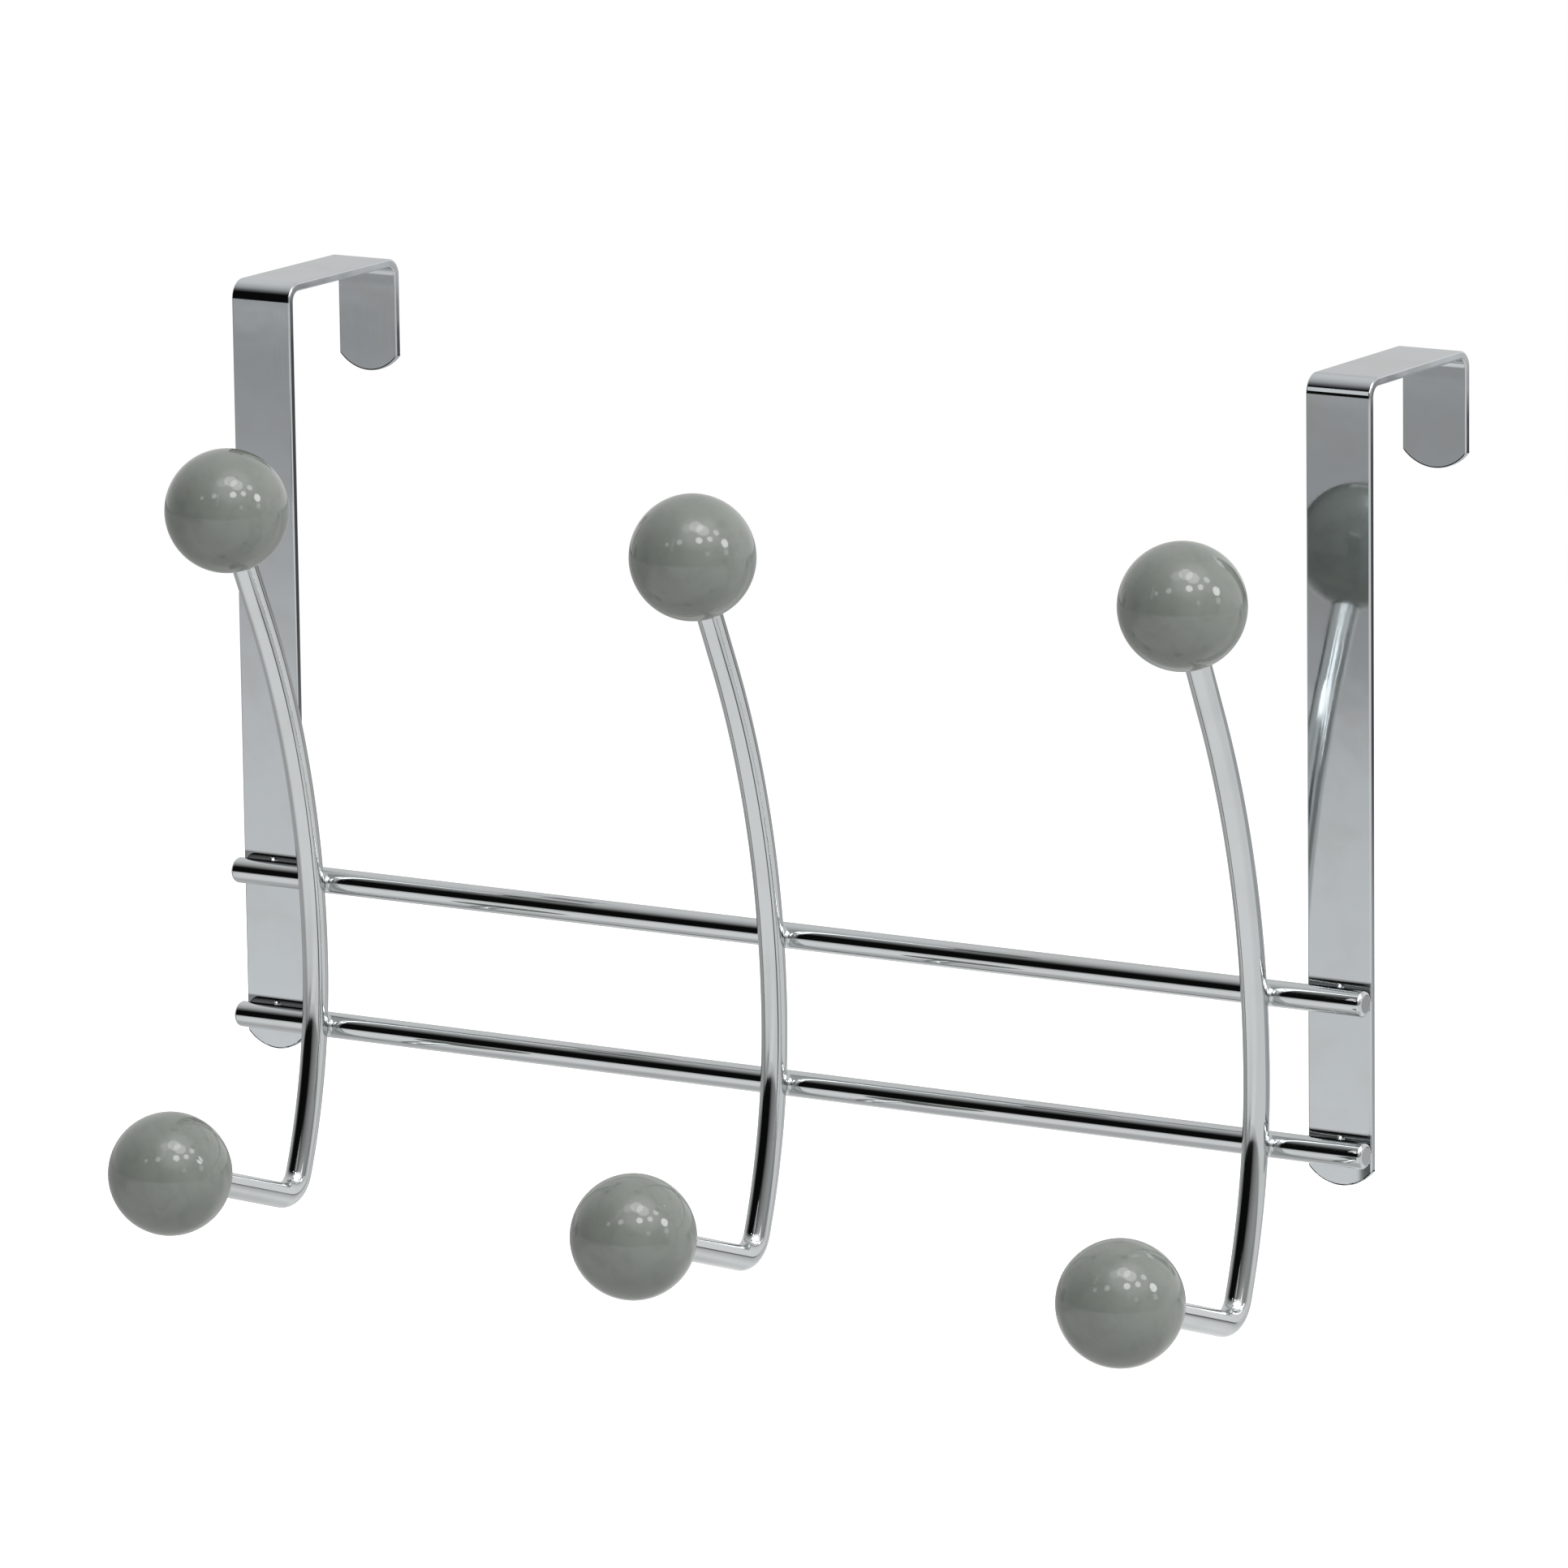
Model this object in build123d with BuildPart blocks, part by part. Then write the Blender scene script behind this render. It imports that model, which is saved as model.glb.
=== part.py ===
from build123d import *
import os
from math import asin, degrees, sqrt

# Over-door hook rack in millimetres: two folded door straps, two cross rods,
# three bent-wire hooks and six ball knobs.
# +X runs to the right, +Y into the door, +Z up. The origin is on the door's top
# front edge, midway between the straps.

# Door straps: flat strip with softened edges, folded over the top of the door
door_gap = 44.0
strap_spacing = 293.0
strap_width = 16.5
strap_thickness = 2.0
strap_edge_radius = 0.4
leg_drop = 185.7
lip_drop = 26.2
fold_inner_radius = 2.4
tip_rise = 4.0

# Cross rods: straight wire welded on the front of both straps
rod_diameter = 6.2
rod_overhang = 0.2
rod_end_radius = 1.0
lower_rod_rise = 8.5
rod_pitch = 35.6

# Hooks: wire bowed towards the door, with a heel and a short rising arm
wire_diameter = 6.2
hook_inset = 17.2
upper_bow_radius = 205.0
upper_bow_angle = 25.5
upper_straight = 30.7
lower_bow_radius = 140.0
lower_bow_angle = 20.8
heel_radius = 6.5
arm_rise_angle = 18.2
arm_length = 48.5
wire_tip_chamfer = 0.6

# Ball knobs with a blind socket for the wire
knob_diameter = 29.5
socket_depth = 16.0
socket_clearance = 0.05
socket_mouth_chamfer = 0.4

# Cross welds: the wires are pressed into each other and joined by a short neck
weld_sink = 0.15
weld_neck_diameter = 4.6

# Places that follow from the sizes above
strap_middle = strap_thickness / 2
tip_radius = (strap_width**2 / 4 + tip_rise**2) / (2 * tip_rise)
rod_length = strap_spacing + strap_width + 2 * rod_overhang
rod_radius = rod_diameter / 2
rod_y = -(strap_thickness + rod_radius - weld_sink)
lower_rod_drop = leg_drop - lower_rod_rise
upper_rod_drop = lower_rod_drop - rod_pitch
rod_drops = {"upper": upper_rod_drop, "lower": lower_rod_drop}
wire_radius = wire_diameter / 2
knob_radius = knob_diameter / 2
tip_past_knob_centre = socket_depth - knob_radius
strap_places = {"left": -strap_spacing / 2, "right": strap_spacing / 2}
outer_hook_x = strap_spacing / 2 - hook_inset
hook_places = {"left": -outer_hook_x, "middle": 0.0, "right": outer_hook_x}

# The bow's deepest point lies between the rods, where both bows leave them equally
bow_share = sqrt(upper_bow_radius) / (sqrt(upper_bow_radius) + sqrt(lower_bow_radius))
bow_to_upper_rod = rod_pitch * bow_share
bow_sag = upper_bow_radius - sqrt(upper_bow_radius**2 - bow_to_upper_rod**2)
bow_y = rod_y - (rod_radius + wire_radius - weld_sink) + bow_sag
bow_z = -(upper_rod_drop + bow_to_upper_rod)
heel_angle = 90 - lower_bow_angle + arm_rise_angle


def finish(piece, name):
    """Label one finished piece and write it to its own file."""
    piece.part.label = name
    export_step(piece.part, f"parts/{name}.step")


def round_strap_tip(plane, tip_z, reach):
    """Cut one strap end to an arc across the strip's width."""
    with BuildSketch(plane) as waste:
        with Locations((0, tip_z + tip_radius)):
            Rectangle(2 * tip_radius + strap_width, 2 * tip_radius, align=(Align.CENTER, Align.MAX))
            Circle(tip_radius, mode=Mode.SUBTRACT)
    extrude(waste.sketch, amount=reach, both=True, mode=Mode.SUBTRACT)


def door_strap(x):
    """Leg down the door's front, bridge over its top and short lip behind."""
    lip_y = door_gap + strap_middle
    with BuildPart() as strap:
        with BuildLine(Plane.YZ.offset(x)) as folded:
            FilletPolyline(
                (-strap_middle, -leg_drop),
                (-strap_middle, strap_middle),
                (lip_y, strap_middle),
                (lip_y, -lip_drop),
                radius=fold_inner_radius + strap_middle,
            )
        with BuildSketch(Plane((x, -strap_middle, -leg_drop))):
            RectangleRounded(strap_width, strap_thickness, strap_edge_radius)
        sweep(path=folded.line)
        for tip_y, tip_z in ((-strap_middle, -leg_drop), (lip_y, -lip_drop)):
            tip_plane = Plane((x, tip_y, 0), x_dir=(1, 0, 0), z_dir=(0, -1, 0))
            round_strap_tip(tip_plane, tip_z, strap_thickness)
            tip_face = strap.faces().filter_by_position(
                Axis.Y, tip_y - strap_middle, tip_y + strap_middle
            ).sort_by(Axis.Z)[0]
            fillet(tip_face.edges(), strap_edge_radius)
    return strap


def hook_line(x):
    """Centreline of a hook between its two tips."""
    with BuildLine(Plane.YZ.offset(x)) as line:
        upper_bow = JernArc((bow_y, bow_z), (0, 1), upper_bow_radius, upper_bow_angle)
        PolarLine(upper_bow @ 1, upper_straight + tip_past_knob_centre, direction=upper_bow % 1)
        lower_bow = JernArc((bow_y, bow_z), (0, -1), lower_bow_radius, -lower_bow_angle)
        heel = JernArc(lower_bow @ 1, lower_bow % 1, heel_radius, -heel_angle)
        PolarLine(heel @ 1, arm_length + tip_past_knob_centre, direction=heel % 1)
    return line.wires()[0]


def wire_hook(line):
    """Round wire swept along its centreline, with broken edges at both tips."""
    with BuildPart() as hook:
        with BuildSketch(Plane(line @ 0, z_dir=line % 0)):
            Circle(wire_radius)
        sweep(path=line)
        tips = hook.faces().filter_by(GeomType.PLANE)
        chamfer(tips.edges(), wire_tip_chamfer)
    return hook


def cross_rod(drop, straps, hooks):
    """Straight rod with a weld neck and a pressed seat at every crossing."""
    with BuildPart() as rod:
        with BuildSketch(Plane.YZ.offset(-rod_length / 2)):
            with Locations((rod_y, -drop)):
                Circle(rod_radius)
        extrude(amount=rod_length)
        ends = rod.faces().filter_by(GeomType.PLANE)
        fillet(ends.edges(), rod_end_radius)
        for places, reach in ((strap_places, rod_radius), (hook_places, -rod_radius - wire_radius)):
            with BuildSketch(Plane((0, rod_y, 0), x_dir=(1, 0, 0), z_dir=(0, 1, 0))) as necks:
                with Locations(*[(x, drop) for x in places.values()]):
                    Circle(weld_neck_diameter / 2)
            extrude(necks.sketch, amount=reach)
        for neighbour in (*straps, *hooks):
            add(neighbour.part, mode=Mode.SUBTRACT)
    return rod


def ball_knob(centre, outward):
    """Turned ball with a blind socket that the wire's tip bottoms in."""
    socket_radius = wire_radius + socket_clearance
    mouth_radius = socket_radius + socket_mouth_chamfer
    mouth_angle = degrees(asin(mouth_radius / knob_radius))
    mouth_depth = sqrt(knob_radius**2 - mouth_radius**2)
    half_section = Plane(centre, x_dir=(1, 0, 0), z_dir=Vector(1, 0, 0).cross(outward))
    with BuildPart() as knob:
        with BuildSketch(half_section):
            with BuildLine():
                ball = CenterArc((0, 0), knob_radius, mouth_angle - 90, 180 - mouth_angle)
                Polyline(
                    ball @ 1,
                    (0, tip_past_knob_centre),
                    (socket_radius, tip_past_knob_centre),
                    (socket_radius, socket_mouth_chamfer - mouth_depth),
                    ball @ 0,
                )
            make_face()
        revolve(axis=Axis(centre, outward))
    return knob


os.makedirs("parts", exist_ok=True)

straps = {side: door_strap(x) for side, x in strap_places.items()}
for side, strap in straps.items():
    finish(strap, f"door_strap_{side}")

hook_lines = {place: hook_line(x) for place, x in hook_places.items()}
hooks = {place: wire_hook(line) for place, line in hook_lines.items()}
for place, hook in hooks.items():
    finish(hook, f"hook_{place}")

for level, drop in rod_drops.items():
    finish(cross_rod(drop, straps.values(), hooks.values()), f"{level}_cross_rod")

for place, line in hook_lines.items():
    for tip, outward in ((line @ 0, -(line % 0)), (line @ 1, line % 1)):
        level = "upper" if tip.Z > bow_z else "lower"
        centre = tip - outward * tip_past_knob_centre
        finish(ball_knob(centre, outward), f"knob_{level}_{place}")
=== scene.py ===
# %% [markdown]
# Over-door hook rack: a lesson in dressing a finished model in Blender.
# The rack is two folded strips, two cross rods, three bent-wire hooks and six ball knobs. All the metal is
# bright chrome, and a mirror shows every facet, so each piece is made again as a smooth mesh that stands
# exactly where the model has it. Lengths are in metres, with +X right, +Y into the door and +Z up.

# %% Load the frame
from math import acos, atan, ceil, cos, degrees, pi, radians, sin, sqrt

import bmesh
import bpy
from mathutils import Matrix, Vector


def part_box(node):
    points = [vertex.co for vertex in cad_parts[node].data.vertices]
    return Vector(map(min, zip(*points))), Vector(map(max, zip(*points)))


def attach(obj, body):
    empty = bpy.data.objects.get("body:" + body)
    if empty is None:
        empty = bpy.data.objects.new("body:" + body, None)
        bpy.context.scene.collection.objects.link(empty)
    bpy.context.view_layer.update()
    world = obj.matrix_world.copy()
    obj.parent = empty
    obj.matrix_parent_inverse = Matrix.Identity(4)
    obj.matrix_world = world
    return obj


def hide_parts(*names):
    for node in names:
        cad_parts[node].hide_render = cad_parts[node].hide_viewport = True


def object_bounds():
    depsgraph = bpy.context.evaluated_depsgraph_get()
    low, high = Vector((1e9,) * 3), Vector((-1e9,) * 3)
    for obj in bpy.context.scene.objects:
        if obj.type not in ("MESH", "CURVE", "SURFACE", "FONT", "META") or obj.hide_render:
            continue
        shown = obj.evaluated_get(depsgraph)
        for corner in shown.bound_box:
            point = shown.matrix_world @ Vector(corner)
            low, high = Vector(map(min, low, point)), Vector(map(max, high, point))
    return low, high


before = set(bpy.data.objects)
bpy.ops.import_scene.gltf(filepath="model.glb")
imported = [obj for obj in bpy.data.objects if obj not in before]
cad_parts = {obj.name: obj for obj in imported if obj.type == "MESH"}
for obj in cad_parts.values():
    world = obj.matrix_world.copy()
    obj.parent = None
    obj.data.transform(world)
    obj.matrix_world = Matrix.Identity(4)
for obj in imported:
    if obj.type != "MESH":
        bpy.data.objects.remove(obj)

cad_low, cad_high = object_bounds()
print("model box in mm:", [round(1000 * side, 2) for side in cad_high - cad_low])

# %% [markdown]
# Small tools come first. A node tree is only a list of nodes and links, so a few helpers are enough to
# write one down as code: one adds a node and fills or links its inputs by name, others add common nodes,
# and the rest start and end a tree.

# %% Helpers for node trees
MILLIMETRE = 0.001


def add_node(tree, kind, inputs=None, **settings):
    """Add a node, set its properties, and fill each named input with a value or a link."""
    node = tree.nodes.new(kind)
    for setting, value in settings.items():
        setattr(node, setting, value)
    for name, value in (inputs or {}).items():
        socket = node.inputs[name]
        if isinstance(value, bpy.types.NodeSocket):
            tree.links.new(value, socket)
        else:
            socket.default_value = value
    return node


def math_node(tree, operation, first, second=0.0):
    """Add one Math node and return its result."""
    return add_node(tree, "ShaderNodeMath", {0: first, 1: second}, operation=operation).outputs[0]


def ramp_between(tree, value, start, end, low, high):
    """Map a value from start..end to low..high with soft shoulders."""
    return add_node(
        tree, "ShaderNodeMapRange",
        {"Value": value, "From Min": start, "From Max": end, "To Min": low, "To Max": high},
        interpolation_type="SMOOTHSTEP").outputs[0]


def grey_ramp(tree, value, greys):
    """Look a value from 0 to 1 up in a row of greys, with even blends between them."""
    ramp = add_node(tree, "ShaderNodeValToRGB", {"Fac": value})
    stops = ramp.color_ramp.elements
    while len(stops) < len(greys):
        stops.new(0.5)
    for stop, (place, grey) in zip(stops, greys.items()):
        stop.position = place
        stop.color = (grey, grey, grey, 1)
    return ramp.outputs[0]


def new_sockets(tree, inputs, outputs):
    """Name the inputs and outputs that a node group shows to the outside."""
    for way, sockets in (("INPUT", inputs), ("OUTPUT", outputs)):
        for name, kind in sockets.items():
            tree.interface.new_socket(name, in_out=way, socket_type=f"NodeSocket{kind}")


def new_geometry_tree(name, inputs):
    """Start a Geometry Nodes tree with one geometry in, one geometry out and named sizes."""
    tree = bpy.data.node_groups.new(name, "GeometryNodeTree")
    tree.is_modifier = True
    new_sockets(tree, {"Geometry": "Geometry", **inputs}, {"Geometry": "Geometry"})
    return tree, tree.nodes.new("NodeGroupInput").outputs


def end_geometry_tree(tree, geometry, finish):
    """Close a Geometry Nodes tree: real geometry, smooth shading, and its material."""
    real = add_node(tree, "GeometryNodeRealizeInstances", {"Geometry": geometry}).outputs[0]
    smooth = add_node(tree, "GeometryNodeSetShadeSmooth", {"Geometry": real}).outputs[0]
    dressed = add_node(tree, "GeometryNodeSetMaterial", {"Geometry": smooth, "Material": finish}).outputs[0]
    add_node(tree, "NodeGroupOutput", {"Geometry": dressed})


def use_tree(obj, tree, sizes):
    """Put a Geometry Nodes tree on an object and set its inputs by their identifiers."""
    modifier = obj.modifiers.new(tree.name, "NODES")
    modifier.node_group = tree
    sockets = [item for item in tree.interface.items_tree if item.item_type == "SOCKET"]
    identifiers = {item.name: item.identifier for item in sockets if item.in_out == "INPUT"}
    for name, value in sizes.items():
        modifier[identifiers[name]] = value


print("node helpers ready")

# %% [markdown]
# Every piece ends the same way: its modifiers are evaluated into a plain mesh, and that mesh rides on the
# rack's one body in place of the model's own node. Where it stands is read from that node's box.

# %% Helpers for pieces
scene = bpy.context.scene


def show(name, data):
    """Make an object of a mesh, curve, lamp or camera and link it to the scene."""
    obj = bpy.data.objects.new(name, data)
    scene.collection.objects.link(obj)
    return obj


def centre_of(node):
    """Middle of a node's box in the model."""
    low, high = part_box(node)
    return (low + high) / 2


def settle(obj, name):
    """Evaluate an object's modifiers into a plain mesh piece, and remove the object it came from."""
    depsgraph = bpy.context.evaluated_depsgraph_get()
    mesh = bpy.data.meshes.new_from_object(obj.evaluated_get(depsgraph))
    mesh.name = name
    bpy.data.objects.remove(obj)
    return show(name, mesh)


def stand_for(piece, node):
    """Let a finished piece take the place of a node of the model."""
    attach(piece, "root")
    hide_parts(node)
    low, high = (Vector(corner) for corner in (piece.bound_box[0], piece.bound_box[6]))
    node_low, node_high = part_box(node)
    drift = max((low - node_low).length, (high - node_high).length) / MILLIMETRE
    print(f"{piece.name}: {len(piece.data.polygons)} faces, {drift:.3f} mm from the model's box")


print("piece helpers ready")

# %% [markdown]
# No plated or moulded surface is perfectly even. Three small effects serve several finishes here, so each
# is a shader node group that is built once. The first is the faint stroke of the polishing wheel: noise
# that is squeezed across a stroke and drawn out along it, by a different stretch for each axis.

# %% Shared effect: polishing strokes
def new_effect(name, inputs, outputs):
    """Start a shader node group with named inputs and outputs."""
    group = bpy.data.node_groups.new(name, "ShaderNodeTree")
    new_sockets(group, inputs, outputs)
    return group, group.nodes.new("NodeGroupInput").outputs


strokes, given = new_effect(
    "polishing_strokes", {"Position": "Vector", "Strokes per metre": "Vector"}, {"Strokes": "Float"})
stretched = add_node(
    strokes, "ShaderNodeVectorMath", {0: given["Position"], 1: given["Strokes per metre"]},
    operation="MULTIPLY")
stroke_noise = add_node(
    strokes, "ShaderNodeTexNoise",
    {"Vector": stretched.outputs[0], "Scale": 1.0, "Detail": 3.0, "Roughness": 0.6}).outputs["Fac"]
add_node(strokes, "NodeGroupOutput", {"Strokes": ramp_between(strokes, stroke_noise, 0.3, 0.7, 0.0, 1.0)})
print("effect:", strokes.name)

# %% [markdown]
# The second effect is the thin film that hands, air and packing leave on a bright surface: soft, cloudy
# patches up to a centimetre across, where reflections are a trace duller. The third is the slow unevenness
# under the shine, which makes mirrored lines swim a little on plating and gives moulded plastic its skin.

# %% Shared effects: film and ripple
film, given = new_effect(
    "handling_film", {"Position": "Vector", "Patches per metre": "Float"}, {"Film": "Float"})
patches = add_node(
    film, "ShaderNodeTexNoise",
    {"Vector": given["Position"], "Scale": given["Patches per metre"], "Detail": 4.0, "Roughness": 0.55,
     "Distortion": 0.4}).outputs["Fac"]
add_node(film, "NodeGroupOutput", {"Film": ramp_between(film, patches, 0.42, 0.72, 0.0, 1.0)})

ripple, given = new_effect(
    "surface_ripple", {"Position": "Vector", "Waves per metre": "Float"}, {"Height": "Float"})
waves = add_node(
    ripple, "ShaderNodeTexNoise",
    {"Vector": given["Position"], "Scale": given["Waves per metre"], "Detail": 1.0, "Roughness": 0.4}
).outputs["Fac"]
add_node(ripple, "NodeGroupOutput", {"Height": waves})
print("effects:", film.name, "and", ripple.name)

# %% [markdown]
# Chrome plate is a mirror with a slightly dark, cool colour: it returns a little under six tenths of the
# light. One function makes the finish for all three kinds of metal piece. The polishing wheel ran along the
# rods, along the hooks and along the strips, and the strips are a trace bluer. In the narrow corner above
# each rod a dark band is painted on the strip's front as shade. Film and strokes add a few hundredths of
# roughness.

# %% Finish: bright chrome
WIRE_CHROME = (0.563, 0.585, 0.588, 1)
STRIP_CHROME = (0.554, 0.584, 0.606, 1)
FILM = (0.54, 0.558, 0.558, 1)
PAINTED_CORNER_SHADE = (0.12, 0.125, 0.12, 1)
CORNER_SHADE_SHARE = 0.8
CORNER_TOP, CORNER_FADED = 4.0 * MILLIMETRE, 4.6 * MILLIMETRE
FRONT_SKIN = 0.2 * MILLIMETRE
ALONG, ACROSS = 12, 1400
FILM_PATCHES, PLATE_WAVES = 70.0, 110.0
WIRE_ROUGHNESS, STRIP_ROUGHNESS = 0.035, 0.04
STROKE_ROUGHNESS, FILM_ROUGHNESS = 0.02, 0.03
STROKE_HEIGHT = 0.01
RIPPLE_DEPTH = 0.02 * MILLIMETRE

strap_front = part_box("door_strap_left")[0].y
rod_heights = [centre_of(node).z for node in ("upper_cross_rod", "lower_cross_rod")]


def begin_finish(name):
    """Start a material, and return its tree, its shader and the object's own coordinates."""
    material = bpy.data.materials.new(name)
    material.use_nodes = True
    tree = material.node_tree
    position = add_node(tree, "ShaderNodeTexCoord").outputs["Object"]
    return material, tree, tree.nodes["Principled BSDF"], position


def effect(tree, group, inputs):
    """Place a shared effect in a material and return its output."""
    return add_node(tree, "ShaderNodeGroup", inputs, node_tree=group).outputs[0]


def blend_colours(tree, share, first, second):
    """Blend two colours by a share that changes over the surface."""
    blend = add_node(tree, "ShaderNodeMix", {"Factor": share, "A": first, "B": second}, data_type="RGBA")
    return blend.outputs["Result"]


def chrome_finish(name, plate, strokes_per_metre, plain_roughness, corners=()):
    """Bright chrome polished in one direction, with painted shade on the front just above each corner's
    height.
    """
    material, tree, shader, position = begin_finish(name)
    stroke = effect(tree, strokes, {"Position": position, "Strokes per metre": strokes_per_metre})
    haze = effect(tree, film, {"Position": position, "Patches per metre": FILM_PATCHES})
    wave = effect(tree, ripple, {"Position": position, "Waves per metre": PLATE_WAVES})
    colour = blend_colours(tree, haze, plate, FILM)
    # Painted shade: a dark band on the strip's front just above each rod, where the corner lies in shade.
    for corner in corners:
        place = add_node(tree, "ShaderNodeSeparateXYZ", {0: position}).outputs
        above = math_node(tree, "SUBTRACT", place["Z"], corner)
        low = ramp_between(tree, above, CORNER_TOP, CORNER_FADED, CORNER_SHADE_SHARE, 0.0)
        on_rod = math_node(tree, "GREATER_THAN", above, 0.0)
        on_front = math_node(tree, "LESS_THAN", place["Y"], strap_front + FRONT_SKIN)
        painted_shade = math_node(tree, "MULTIPLY", low, math_node(tree, "MULTIPLY", on_rod, on_front))
        colour = blend_colours(tree, painted_shade, colour, PAINTED_CORNER_SHADE)
    tree.links.new(colour, shader.inputs["Base Color"])
    stroke_share = math_node(tree, "MULTIPLY", stroke, STROKE_ROUGHNESS)
    haze_share = math_node(tree, "MULTIPLY", haze, FILM_ROUGHNESS)
    dullness = math_node(tree, "ADD", math_node(tree, "ADD", stroke_share, haze_share), plain_roughness)
    tree.links.new(dullness, shader.inputs["Roughness"])
    height = math_node(tree, "ADD", wave, math_node(tree, "MULTIPLY", stroke, STROKE_HEIGHT))
    bump = add_node(tree, "ShaderNodeBump", {"Height": height, "Distance": RIPPLE_DEPTH, "Strength": 1.0})
    tree.links.new(bump.outputs[0], shader.inputs["Normal"])
    shader.inputs["Metallic"].default_value = 1.0
    return material


chrome_rod = chrome_finish("chrome_rod", WIRE_CHROME, (ALONG, ACROSS, ACROSS), WIRE_ROUGHNESS)
chrome_hook = chrome_finish("chrome_hook", WIRE_CHROME, (ACROSS, ALONG, ALONG), WIRE_ROUGHNESS)
chrome_strap = chrome_finish(
    "chrome_strap", STRIP_CHROME, (ACROSS, ALONG, ALONG), STRIP_ROUGHNESS, rod_heights)
print("finishes:", chrome_rod.name, chrome_hook.name, chrome_strap.name)

# %% [markdown]
# The knobs are moulded in a warm mid grey with a touch of green, and polished. Plastic is a dielectric: its
# colour comes from inside, and a clear reflection of about four percent lies on top, stronger at the rim.
# The colour drifts slightly, as pigment does in a moulding, and the skin has a very fine orange peel.

# %% Finish: grey knob
KNOB_GREY = (0.183, 0.199, 0.181, 1)
KNOB_GREY_DEEP = (0.165, 0.18, 0.163, 1)
PIGMENT_PATCHES, TOUCH_PATCHES, PEEL_WAVES = 260.0, 90.0, 900.0
KNOB_ROUGHNESS, TOUCH_ROUGHNESS = 0.07, 0.05
PEEL_DEPTH = 0.003 * MILLIMETRE

knob_grey, tree, shader, position = begin_finish("knob_grey")
pigment = effect(tree, film, {"Position": position, "Patches per metre": PIGMENT_PATCHES})
touched = effect(tree, film, {"Position": position, "Patches per metre": TOUCH_PATCHES})
peel = effect(tree, ripple, {"Position": position, "Waves per metre": PEEL_WAVES})
tree.links.new(blend_colours(tree, pigment, KNOB_GREY, KNOB_GREY_DEEP), shader.inputs["Base Color"])
dullness = math_node(tree, "ADD", math_node(tree, "MULTIPLY", touched, TOUCH_ROUGHNESS), KNOB_ROUGHNESS)
tree.links.new(dullness, shader.inputs["Roughness"])
skin = add_node(tree, "ShaderNodeBump", {"Height": peel, "Distance": PEEL_DEPTH, "Strength": 1.0})
tree.links.new(skin.outputs[0], shader.inputs["Normal"])
shader.inputs["IOR"].default_value = 1.5
print("finish:", knob_grey.name)

# %% [markdown]
# The hooks and rods are drawn wire. A path swept by a circle could come from a bevelled curve, but a small
# Geometry Nodes tree also rounds the cut ends: close to an end the radius follows a quarter circle.

# %% Tree for drawn wire
wire_tree, sizes = new_geometry_tree(
    "drawn_wire",
    {"Wire radius": "Float", "End rounding": "Float", "Sides": "Int", "Finish": "Material"},
)
along = add_node(wire_tree, "GeometryNodeSplineParameter").outputs["Length"]
whole = add_node(wire_tree, "GeometryNodeSplineLength").outputs["Length"]
from_end = math_node(wire_tree, "MINIMUM", along, math_node(wire_tree, "SUBTRACT", whole, along))
rounding = sizes["End rounding"]
inset = math_node(wire_tree, "MAXIMUM", math_node(wire_tree, "SUBTRACT", rounding, from_end), 0.0)
square = math_node(
    wire_tree, "SUBTRACT",
    math_node(wire_tree, "MULTIPLY", rounding, rounding),
    math_node(wire_tree, "MULTIPLY", inset, inset),
)
quarter = math_node(wire_tree, "SQRT", math_node(wire_tree, "MAXIMUM", square, 0.0))
lost = math_node(wire_tree, "SUBTRACT", rounding, quarter)
radius = math_node(wire_tree, "SUBTRACT", sizes["Wire radius"], lost)
section = add_node(
    wire_tree, "GeometryNodeCurvePrimitiveCircle", {"Resolution": sizes["Sides"], "Radius": 1.0}
).outputs[0]
tube = add_node(
    wire_tree, "GeometryNodeCurveToMesh",
    {"Curve": sizes["Geometry"], "Profile Curve": section, "Scale": radius, "Fill Caps": True})
end_geometry_tree(wire_tree, tube.outputs[0], sizes["Finish"])
print("drawn_wire tree:", len(wire_tree.nodes), "nodes")

# %% [markdown]
# A hook is one wire that always bends the same way: a straight tip, a long easy bow, a tighter bow, the
# heel, and the straight arm. So its path is a short list of runs, each with a length or with a radius and
# an angle, and a small walker turns that list into points.

# %% Hook paths
RUN_STEP = 0.6 * MILLIMETRE
BEND_STEP = radians(2.0)

upper_bow = (205.0 * MILLIMETRE, radians(25.5))
lower_bow = (140.0 * MILLIMETRE, radians(20.8))
arm_rise = radians(18.2)
heel = (6.5 * MILLIMETRE, pi / 2 - lower_bow[1] + arm_rise)
tip_in_knob = 1.25 * MILLIMETRE
upper_straight = 30.7 * MILLIMETRE + tip_in_knob
arm_straight = 48.5 * MILLIMETRE + tip_in_knob
wire_end_rounding = 0.6 * MILLIMETRE


def bent_path(heading, runs):
    """Points of a wire in the Y-Z plane that starts downwards and only ever bends towards -Y."""
    points = [Vector((0, 0, 0))]
    for radius, amount in runs:
        straight = radius is None
        length = amount if straight else radius * amount
        steps = ceil(length / RUN_STEP) if straight else ceil(max(length / RUN_STEP, amount / BEND_STEP))
        start = points[-1]
        for step in range(1, steps + 1):
            share = amount * step / steps
            if straight:
                points.append(start + share * Vector((0, -sin(heading), -cos(heading))))
            else:
                turned = heading + share
                points.append(start + radius * Vector(
                    (0, cos(turned) - cos(heading), sin(heading) - sin(turned))))
        if not straight:
            heading += amount
    return points


hook_runs = [(None, upper_straight), upper_bow, lower_bow, heel, (None, arm_straight)]
hook_points = bent_path(-upper_bow[1], hook_runs)
print("hook path:", len(hook_points), "points")

# %% [markdown]
# The path is hung so that its rearmost point, between the two bows, lies where the model's hook has it.
# The end rounding adds a few points close to both tips.

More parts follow.
